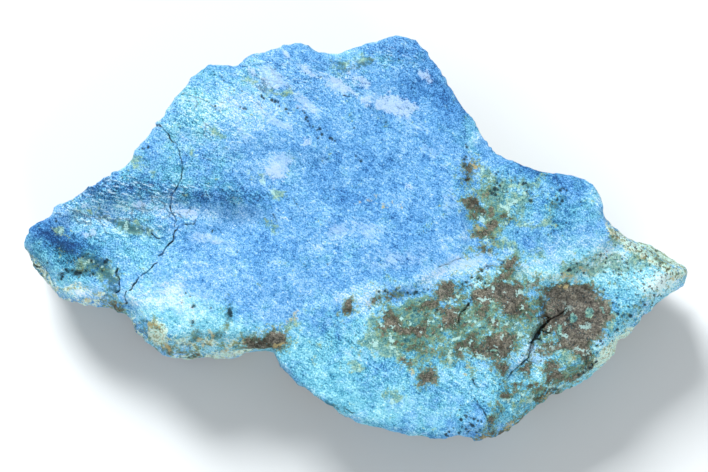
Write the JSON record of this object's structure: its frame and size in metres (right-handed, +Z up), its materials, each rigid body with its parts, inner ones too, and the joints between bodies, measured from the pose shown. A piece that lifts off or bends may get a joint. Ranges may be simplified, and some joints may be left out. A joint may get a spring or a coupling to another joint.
{
  "type": "aerinite mineral specimen",
  "caption": "Flat slab of blue aerinite with broken edges, ledges and cracks, lying on its flat underside as a display specimen.",
  "frame": {"origin": "on the ground under the middle of the box round the stone", "axes": "+X along the slab's length from its blunt tip to its pointed tip, +Y from its front rim to its back rim, +Z up out of the blue face"},
  "size_m": [0.0451, 0.0273, 0.0089],
  "materials": {
    "stone": "dull fine-grained blue mineral with green and brown matrix patches"
  },
  "bodies": {
    "root": {"aerinite_slab": "stone"}
  },
  "joints": []
}
